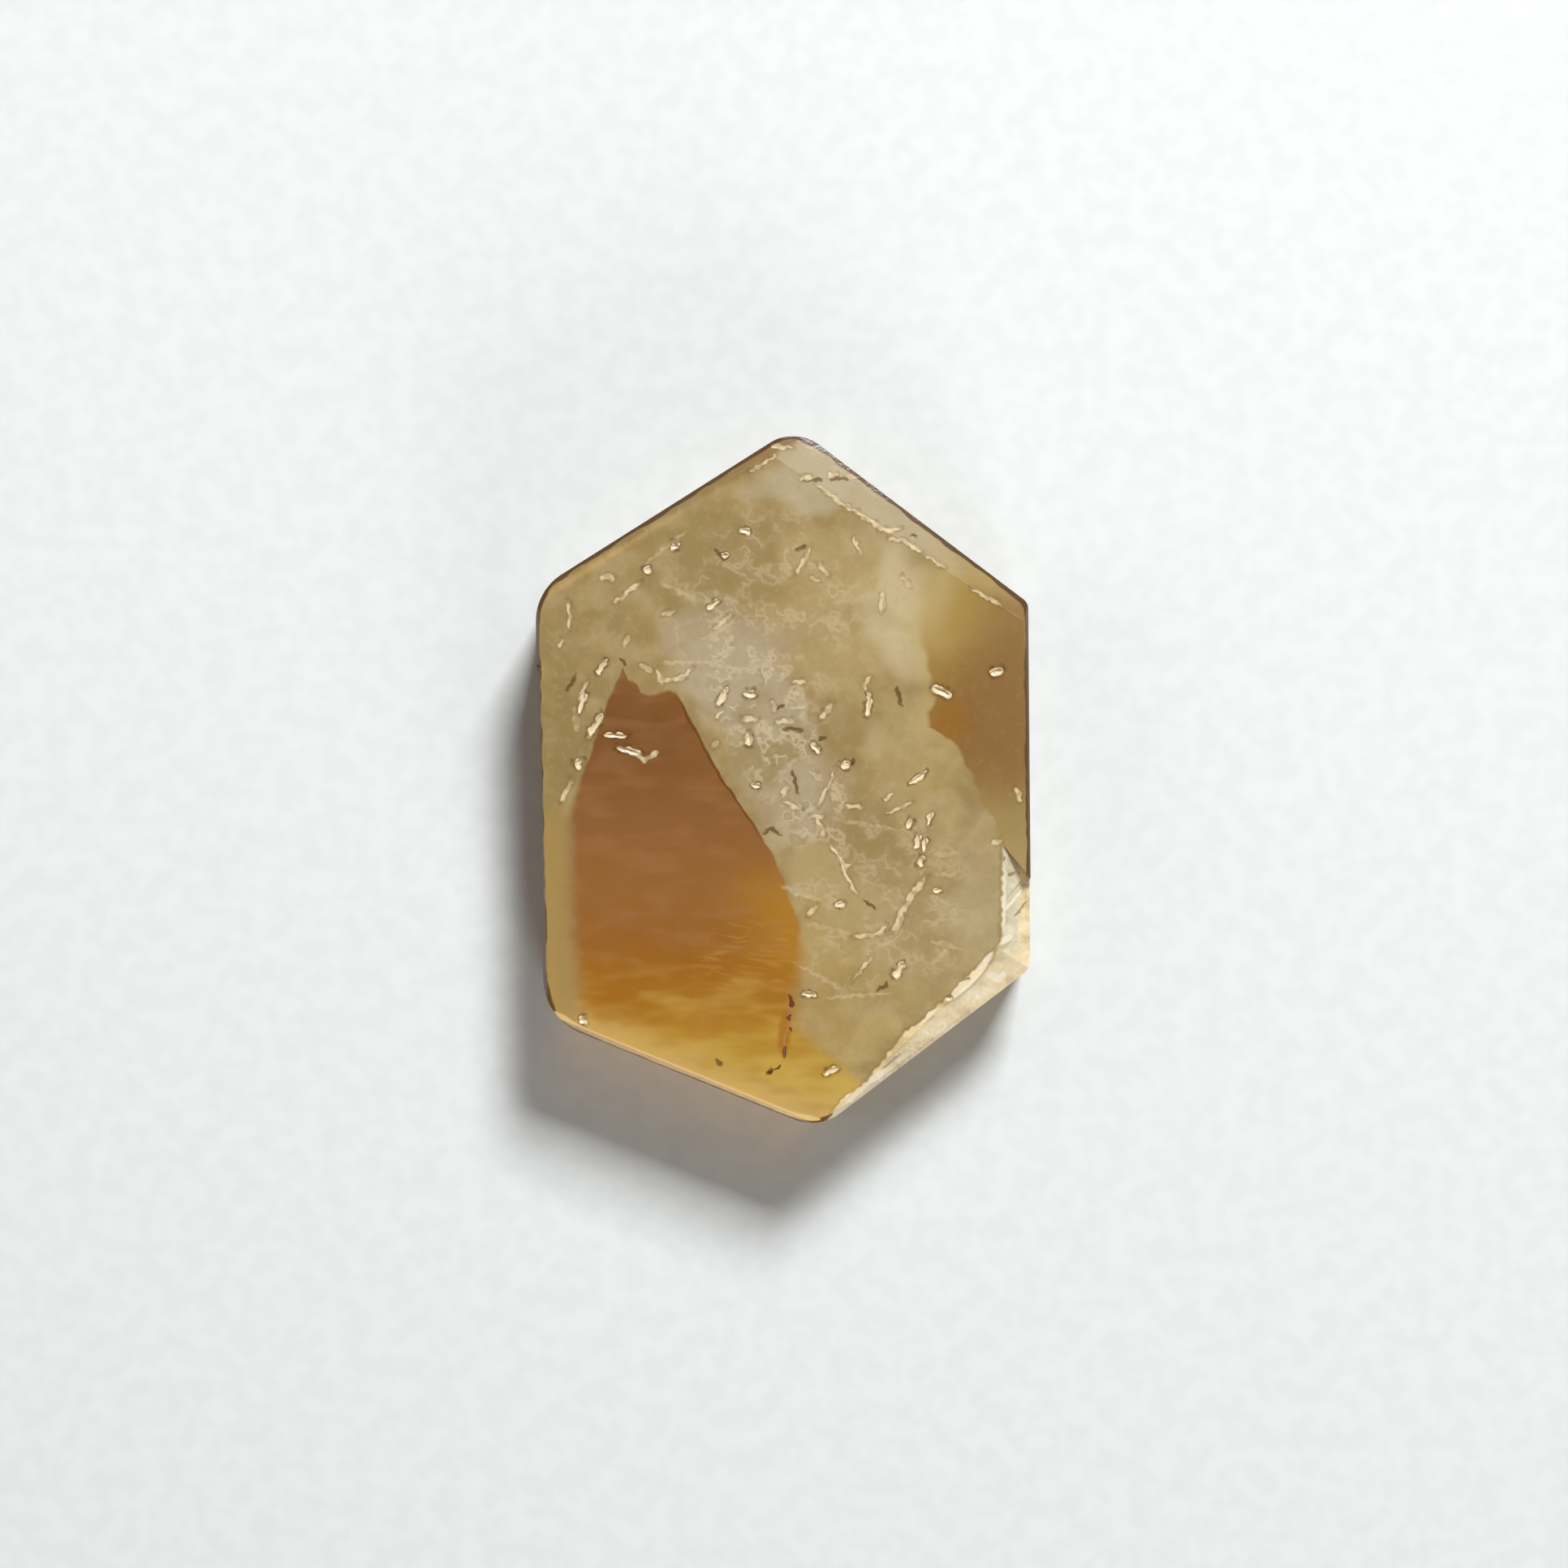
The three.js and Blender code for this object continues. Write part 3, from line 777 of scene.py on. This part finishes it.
class SAPPHIRE_OT_model_slice(bpy.types.Operator):
    """Model the slice and put it in the place of the plain solid"""

    bl_idname = "sapphire.model_slice"
    bl_label = "Model slice"

    def execute(self, context):
        outline = [(*place, 0) for place, _ in CORNERS]
        piece = prism(PIECE, outline, THICKNESS)
        round_corners(piece)
        grind_rim(piece, FRONT_RIM, THICKNESS, 1)
        grind_rim(piece, BACK_RIM, 0, -1)
        end, start = (Vector(point) for point in TIP_RIDGE)
        grind(piece, start, end, THICKNESS, TIP_TILT, 1)
        for shape in FLAKES:
            subtract(piece, [flake(*shape)], "flake")
        ease_edges(piece, context.scene.slice_sizes.edge_ease / MM)
        worn = []
        for cutter, front, back in ((pit, FRONT_PITS, BACK_PITS), (nick, FRONT_NICKS, BACK_NICKS)):
            worn += [cutter(place, THICKNESS, i) for i, place in enumerate(front)]
            worn += [cutter(place, 0, i) for i, place in enumerate(back)]
        for width, way in FRACTURES:
            worn += [groove(width, start, end) for start, end in zip(way, way[1:])]
        subtract(piece, worn, "wear")
        to_metres(piece)
        bpy.ops.object.shade_smooth_by_angle(angle=math.radians(SHARP_ANGLE))
        flatten_shading(piece)
        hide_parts(NODE)
        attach(piece, BODY)
        return {"FINISHED"}


class SAPPHIRE_OT_finish_slice(bpy.types.Operator):
    """Give the slice its zoned, veined and polished crystal finish"""

    bl_idname = "sapphire.finish_slice"
    bl_label = "Finish slice"

    def execute(self, context):
        material = bpy.data.materials.new("zoned_crystal")
        material.use_nodes = True
        finish = CrystalFinish(material.node_tree, context.scene)
        finish.paint()
        piece = bpy.data.objects[PIECE]
        piece.data.materials.clear()
        piece.data.materials.append(material)
        return {"FINISHED"}


class CrystalFinish(Nodes):
    """The crystal's nodes: zones, clouds, veils, pits and rim on a see-through shader."""

    def __init__(self, tree, scene):
        super().__init__(tree)
        self.shader = tree.nodes["Principled BSDF"]
        self.output = tree.nodes["Material Output"]
        self.colours = scene.slice_colours
        self.rim_shade_width = scene.slice_sizes.rim_shade_width / MM

    def tone(self, name):
        """A colour of the settings, or of a smaller mark."""
        return rgba(linear(TONES[name]) if name in TONES else getattr(self.colours, name))

    def paint(self):
        self.place = self.scaled(self.add("TexCoord", output="Object"), 1 / MM)
        self.x, self.y, z = self.parts(self.place)
        self.depth = THICKNESS - z
        self.front = self.depth.step(0.3, 0.12)
        self.flat = self.joined(self.x, self.y, 1)
        self.sway = self.wander(self.place, 2.6, 1, 1)
        self.jitter = self.wander(self.place, 8, 1, 0)
        colour = self.clouds()
        colour = self.right_zone(colour)
        colour = self.upper_facets(colour)
        colour = self.red_column(colour)
        colour = self.veil_threads(colour)
        colour = self.strokes(colour)
        colour = self.frost(colour)
        colour = self.rim(colour)
        self.shade(colour)

    def clouds(self):
        """The beige body with its milky and deeper clouds."""
        self.mottle = self.noise(self.place, 1.9, 1)
        colour = self.mix(self.mottle.step(0.3, 0.65), self.tone("shade"), self.tone("body"))
        east, north = self.wander(self.place, 0.9, 1.6, 0)
        drift = self.depth * 0.3
        flat = self.joined(self.x + east + drift, self.y + north, 1)
        for *place, strength, core, tone in CLOUDS:
            colour = colour.over(self.patch(flat, place, 1.3, core, strength), tone)
        colour = colour.over(self.mottle.step(0.45, 0.75, 0.12), "pale")
        self.grain = self.noise(self.place, 7, 1, 0.6) - 0.5
        colour = colour.over(self.grain.step(0, 0.26, 0.14), "mist")
        return colour.over(self.grain.step(0, -0.26, 0.12), "deep")

    def upper_facets(self, colour):
        """The facets beside the top apex: a painted sheen on the upper right one, then painted shade that
        darkens both, browner on the upper left one near the apex, so that the light they face does not pale
        them.
        """
        ridge = self.outside(self.flat, *rim_ridge(FRONT_RIM, UPPER_RIGHT))
        self.bright_facet = ridge.step(-0.04, 0.06)
        # Painted sheen on the upper right facet, then a little painted shade over it.
        colour = colour.over(self.bright_facet * self.x.step(4.1, 2.8, 0.7), "facet_pale")
        colour = self.mix(self.bright_facet, colour, rgba((0.93, 0.93, 0.93)), "MULTIPLY")
        # Painted shade over the upper left facet, browner near the apex.
        side = self.outside(self.flat, *rim_ridge(FRONT_RIM, UPPER_LEFT)) + self.sway[0] * 0.1
        shaded_facet = side.step(-0.1, 0.06) * self.x.step(0.9, 0.4)
        colour = self.mix(shaded_facet, colour, rgba((0.7, 0.7, 0.68)), "MULTIPLY")
        return colour.over(shaded_facet * self.x.step(-2.4, -0.3, 0.7), "facet_brown")

    def right_zone(self, colour):
        """The gold and brown zone on the right, with straw colour beside it."""
        east, north = self.sway
        x = self.x + east * 0.2 - self.depth * 0.3
        y = self.y + north * 0.2
        inside = x - self.bend(y, RIGHT_ZONE)
        fringe = inside.step(-0.6, -0.05, 0.5) * y.step(-0.4, 0.9)
        colour = colour.over(fringe, "fringe")
        zone = self.tones(y, RIGHT_TONES)
        flat = self.joined(x, y, 1)
        zone = (
            zone.over(self.patch(flat, RUST, 1.5, 0, 0.7), "rust")
            .over(self.patch(flat, AMBER, 1.4, 0, 0.7), "amber")
            .over(self.x.step(3.5, 5, 0.8) * self.y.step(-0.8, 1.2), "umber")
            .over(self.grain.step(0, 0.3, 0.12), "fringe")
            .over(inside.step(0.8, 0.1, 0.85) * y.step(2.4, 3.6), "straw")
        )
        blur = self.slope(y, 2.2, 3.6, 0.18, 0.06)
        within = (inside / blur).step(-1, 1) * (y + self.x * 0.4).step(6.1, 5.5)
        return self.mix(within, colour, zone)

    def red_column(self, colour):
        """The red-brown zone on the left, which turns orange and gold downwards."""
        east, north = (shift * 0.14 for shift in self.sway)
        x = self.x + east + self.depth * 0.25
        y = self.y + north + self.depth * 0.15
        left = x - self.bend(y, RED_LEFT)
        blur = self.slope(self.y, 0.2, -1.6, 0.24, 0.04)
        soft = 1 / (self.depth * 3 + 1)
        from_left = (left / blur * soft).step(-1, 1)
        right = self.bend(y, COLUMN_RIGHT) - x
        blur = self.slope(self.y, -2.8, -4.2, 0.3, 0.035)
        from_right = (right / blur * soft).step(-1, 1)
        from_top = ((self.bend(x, RED_TOP) - y) * soft).step(-0.05, 0.05)
        inside = from_left * from_right * from_top
        colour = colour.over(left.step(0.1, -0.2) * self.y.step(-0.2, -1.2), "olive")
        zone = self.tones(y + (north + east) * 2, COLUMN_TONES)
        glow = right.step(1.8, 0.05) * self.y.step(-1.4, -2.8)
        glow = glow * self.y.step(-4.7, -3.6, 0.8)
        zone = zone.over(glow, "orange")
        zone = zone.over(self.patch(self.flat, EMBER, 1.2, 0.1, 0.6), "ember")
        low = self.outside(self.flat, corner(LOWER_LEFT), corner(LOWER_LEFT + 1)) + east * 3
        zone = zone.over(low.step(-0.8, -0.15, 0.85), "gold")
        self.streaky = self.noise(self.stretched(self.place, 1, 2.8, 1), 1.1, 1)
        golden = self.y.step(-3.4, -4.8)
        zone = (
            zone.over(self.streaky.step(0.4, 0.8) * golden * 0.4, "bright_gold")
            .over(self.streaky.step(0.58, 0.26) * golden * low.step(-0.2, -0.6, 0.35), "dark_gold")
            .over(self.streaky.step(0.45, 0.75) * (1 - golden) * 0.24, "rosy")
        )
        colour = self.mix(inside, colour, zone)
        seam = abs(right - 0.025).step(0.05, 0.015)
        seam = seam * self.y.step(-1.6, -0.8) * self.y.step(1.9, 1.5, 0.7)
        colour = colour.over(seam, "seam")
        silk = self.noise(self.stretched(self.joined(x, y + x * 0.12), 1, 6, 1), 1.7, 1, 0.6)
        silk = silk.step(0.44, 0.8) * self.patch(self.flat, SHIMMER, 1.3, 0.2, 0.4)
        self.column = inside
        return colour.over(silk * inside, "silk")

    def veil_threads(self, colour):
        """Fine worm-like pale threads, each with a line of painted shade beside it, thickest in the veil.
        """
        band = self.patch(self.flat, THREAD_BAND, 1.2, 0.3)
        upper = self.patch(self.flat, UPPER_THREADS, 1.2, 0.2, 0.5)
        lower = self.patch(self.flat, LOWER_THREADS, 1.2, 0.2, 0.45)
        area = self.larger(self.larger(band, upper), lower)
        broken = self.mottle.step(0.45, 0.58)
        thread = self.noise(self.place, 2.7, 2, 0.6) - 0.5
        light = abs(thread).step(0.085, 0)
        dark = abs(thread + 0.11).step(0.08, 0)
        area = area * broken * self.front
        self.ridges = light * area
        area = area * (1 - self.column * 0.75)
        # Painted shade: a dark line beside each pale thread.
        colour = colour.over(dark * area * 0.3, "dark_thread")
        return colour.over(light * area * 0.55, "light_thread")

    def strokes(self, colour):
        """Pits, growth tubes and chips: a bright core that is a painted highlight, and a dark edge of
        painted shade round the open ones.
        """
        east, north = (shift * 0.12 for shift in self.jitter)
        x, y = self.x + east, self.y + north
        vary, side = self.jitter
        vary = vary.step(-0.14, 0.12, 1, 0.45) * self.front
        side = side.step(0.1, -0.1, 1, 0.35) * self.front
        faint = self.nearest_stroke(x, y, FAINT_STROKES)
        colour = colour.over(faint.step(2.2, 0.3, 0.45) * vary, "scratch")
        dark = self.nearest_stroke(x, y, DARK_STROKES) + self.grain * 2
        colour = colour.over(dark.step(1.8, 0.2, 0.8) * self.front, "crevice")
        clear = self.nearest_stroke(x, y, CLEAR_STROKES) + self.grain * 1.6
        # Painted shade round each growth tube, and a painted highlight for its core.
        colour = colour.over(clear.step(8.5, 1.6, 0.4) * side, "tube_edge")
        colour = colour.over(clear.step(2.3, 0.2) * vary, "tube")
        open_pits = tuple((*place, turn) for *place, _, turn in FRONT_PITS)
        pits = self.nearest_stroke(x, y, open_pits) + self.grain * 0.8
        # Painted shade round each open pit, and a painted highlight, in the stroke colour, for its core.
        colour = colour.over(pits.step(7, 1.6, 0.65) * side, "pit_edge")
        colour = colour.over(pits.step(1.7, 0.6) * self.front, "stroke")
        iron = self.nearest_stroke(x, y, IRON_CRACK)
        stain = self.patch(self.joined(x, y, 1), IRON_HALO, 1.6, 0.2, 0.75)
        colour = colour.over(stain * self.front, "halo")
        return colour.over(iron.step(1.6, 0.6, 0.9) * self.front, "iron")

    def frost(self, colour):
        """The rough facet along the lower right side, with the breaks above it."""
        east, north = (shift * 0.1 for shift in self.jitter)
        inside = self.x + east - self.bend(self.y + north, FROST_INNER)
        border = self.outside(self.flat, Vector((5.14, -2.03)), Vector((4.62, -1.45)))
        rough = inside.step(-0.03, 0.04) * border.step(-0.03, 0.03)
        streak = self.streaky + self.grain * 0.5
        creamy = self.larger(self.x.step(4.9, 5.05), self.y.step(-3.4, -3.9))
        zone = self.mix(creamy, self.tone("frost"), self.tone("cream"))
        zone = zone.over(streak.step(0.5, 0.3, 0.5), "frost_dark")
        zone = zone.over(streak.step(0.52, 0.7, 0.6), "frost_light")
        chip = self.oval(self.flat, *CHIP)
        zone = zone.over(chip.step(1.9, 1.3, 0.5), "chip_edge")
        zone = zone.over(chip.step(1.2, 0.9), "chip")
        x, y = self.x + east * 0.5, self.y + north * 0.5
        zone = zone.over(self.nearest_stroke(x, y, FLECKS).step(1.8, 0.6, 0.7), "fleck")
        glints = self.nearest_stroke(x, y, GLINTS) + self.grain * 2.4
        zone = zone.over(glints.step(2.8, 0.4, 0.85), "glint")
        seam = abs(inside + 0.05).step(0.06, 0, 0.35)
        colour = colour.over(seam * border.step(-0.03, 0.03), "frost_seam")
        self.rough = rough
        return self.mix(rough, colour, zone)

    def rim(self, colour):
        """Painted shade as a dark line round the front face, and a painted highlight along the lower left
        side.
        """
        inner = [0 - self.outside(self.flat, corner(i), corner(i + 1)) for i in range(len(CORNERS))]
        top = self.math("SMOOTH_MIN", inner[UPPER_LEFT], inner[UPPER_RIGHT], 0.92)
        right = self.math("SMOOTH_MIN", inner[RIGHT], inner[LOWER_RIGHT], 0.22)
        left = self.math("SMOOTH_MIN", inner[LOWER_LEFT], inner[LEFT], 1.09)
        rim = self.math("SMOOTH_MIN", top, right, 0.16)
        rim = self.math("SMOOTH_MIN", rim, left, 0.83)
        near = self.depth.step(0.45, 0.15)
        lit = inner[LOWER_LEFT].step(0.26, 0.2)
        # Painted highlight along the lower left side.
        pale = rim.step(0.17, 0.12) * rim.step(0.02, 0.06) * lit * near
        colour = colour.over(pale * 0.8, "rim_light")
        # Painted shade: the dark line round the front face.
        width = self.mottle.step(0.3, 0.7, self.rim_shade_width * 1.2, self.rim_shade_width * 0.7)
        width = width * (1 - lit * 0.6)
        dark = (rim / width).step(1.3, 0.8, 0.9) * (1 - self.rough * 0.6) * near
        return colour.over(dark, "rim")

    def shade(self, colour):
        """Feeds the shader the colour, and a polish that is rougher on the sides and in the frost."""
        polish = self.mottle.step(0.3, 0.7, 0.24, 0.16)
        middle = abs(self.depth - THICKNESS / 2)
        sides = middle.step(THICKNESS / 2 - 0.05, THICKNESS / 2 - 0.3)
        facet = self.outside(self.flat, *rim_ridge(FRONT_RIM, LOWER_RIGHT))
        ground = self.larger(sides, facet.step(0, 0.05))
        roughness = polish * (1 - self.bright_facet * 0.55) + ground * 0.25
        grain = self.noise(self.place, 12, 1, 0.65)
        lines = self.noise(self.stretched(self.place, 1, 1, 9), 1.5, 0)
        relief = grain * (ground * 0.8 + 0.08) + lines * ground + self.ridges * 0.5
        bump = self.add("Bump", None, {"Strength": 0.5, "Distance": RELIEF, "Height": relief})
        link = self.tree.links.new
        link(colour.socket, self.shader.inputs["Base Color"])
        link(roughness.socket, self.shader.inputs["Roughness"])
        link(bump.socket, self.shader.inputs["Normal"])
        self.shader.inputs["IOR"].default_value = REFRACTION
        self.shader.inputs["Transmission Weight"].default_value = SEE_THROUGH
        tint = {"Color": rgba(linear(TINT)), "Density": TINT_DENSITY}
        absorbing = self.add("VolumeAbsorption", None, tint)
        link(absorbing.socket, self.output.inputs["Volume"])
        lamp_ray = self.add("LightPath", output="Is Shadow Ray")
        passed = self.add("BsdfTransparent", None, {"Color": rgba(linear(SHADOW_TINT))})
        solid = Value(self, self.shader.outputs["BSDF"])
        surface = self.add("MixShader", None, {0: lamp_ray, 1: solid, 2: passed})
        link(surface.socket, self.output.inputs["Surface"])


class SAPPHIRE_OT_set_stage(bpy.types.Operator):
    """Set the pale floor, the soft lights and the camera"""

    bl_idname = "sapphire.set_stage"
    bl_label = "Set stage"

    def execute(self, context):
        self.lay_floor()
        self.hang_lamps()
        self.light_sky(context.scene)
        self.place_camera(context.scene)
        return {"FINISHED"}

    def lay_floor(self):
        bpy.ops.mesh.primitive_plane_add(size=FLOOR_SIZE, location=(0, 0, FLOOR_HEIGHT))
        floor = place_piece(bpy.context.active_object)
        floor.name = "floor"
        paper = bpy.data.materials.new("pale_card")
        paper.use_nodes = True
        nodes = Nodes(paper.node_tree)
        place = nodes.scaled(nodes.add("TexCoord", output="Object"), 1 / MM)
        fibre = nodes.noise(place, 2, 1, 0.6)
        dark, light = (rgba(linear(tone)) for tone in FLOOR_TONES)
        colour = nodes.mix(fibre.step(0.3, 0.7), dark, light)
        shader = paper.node_tree.nodes["Principled BSDF"]
        paper.node_tree.links.new(colour.socket, shader.inputs["Base Color"])
        shader.inputs["Roughness"].default_value = FLOOR_ROUGHNESS
        floor.data.materials.append(paper)

    def hang_lamps(self):
        for name, place, size, power in LAMPS:
            bpy.ops.object.light_add(type="AREA", location=place)
            lamp = bpy.context.active_object
            lamp.name = name
            lamp.data.size = size
            lamp.data.energy = power
            lamp.rotation_euler = (-Vector(place)).to_track_quat("-Z", "Y").to_euler()

    def light_sky(self, scene):
        """A soft pale surround that is dark straight above, so that the polish shows no glare."""
        world = bpy.data.worlds.new("studio")
        world.use_nodes = True
        nodes = Nodes(world.node_tree)
        direction = nodes.add("TexCoord", output="Generated")
        _, _, height = nodes.parts(direction)
        strength = height.step(*ZENITH, ZENITH_STRENGTH, SKY_STRENGTH)
        background = world.node_tree.nodes["Background"]
        background.inputs["Color"].default_value = SKY_COLOUR
        world.node_tree.links.new(strength.socket, background.inputs["Strength"])
        scene.world = world

    def place_camera(self, scene):
        bpy.ops.object.camera_add(location=CAMERA_PLACE, rotation=(0, 0, 0))
        camera = bpy.context.active_object
        for name, setting in CAMERA.items():
            setattr(camera.data, name, setting)
        scene.camera = camera
        scene.view_settings.view_transform = "Standard"


class SAPPHIRE_PT_panel(bpy.types.Panel):
    """The slice's settings and operators"""

    bl_idname = "SAPPHIRE_PT_panel"
    bl_label = "Sapphire Slice"
    bl_space_type = "VIEW_3D"
    bl_region_type = "UI"
    bl_category = "Sapphire"

    def draw(self, context):
        layout = self.layout
        for group in (context.scene.slice_sizes, context.scene.slice_colours):
            for name in type(group).__annotations__:
                layout.prop(group, name)
        for operator in OPERATORS:
            layout.operator(operator.bl_idname)


OPERATORS = (SAPPHIRE_OT_model_slice, SAPPHIRE_OT_finish_slice, SAPPHIRE_OT_set_stage)
CLASSES = (SliceSizes, SliceColours, *OPERATORS, SAPPHIRE_PT_panel)


def register():
    for cls in CLASSES:
        bpy.utils.register_class(cls)
    bpy.types.Scene.slice_sizes = bpy.props.PointerProperty(type=SliceSizes)
    bpy.types.Scene.slice_colours = bpy.props.PointerProperty(type=SliceColours)


def unregister():
    del bpy.types.Scene.slice_colours
    del bpy.types.Scene.slice_sizes
    for cls in reversed(CLASSES):
        bpy.utils.unregister_class(cls)


def main():
    register()
    bpy.ops.sapphire.model_slice()
    bpy.ops.sapphire.finish_slice()
    bpy.ops.sapphire.set_stage()


if __name__ == "__main__":
    main()
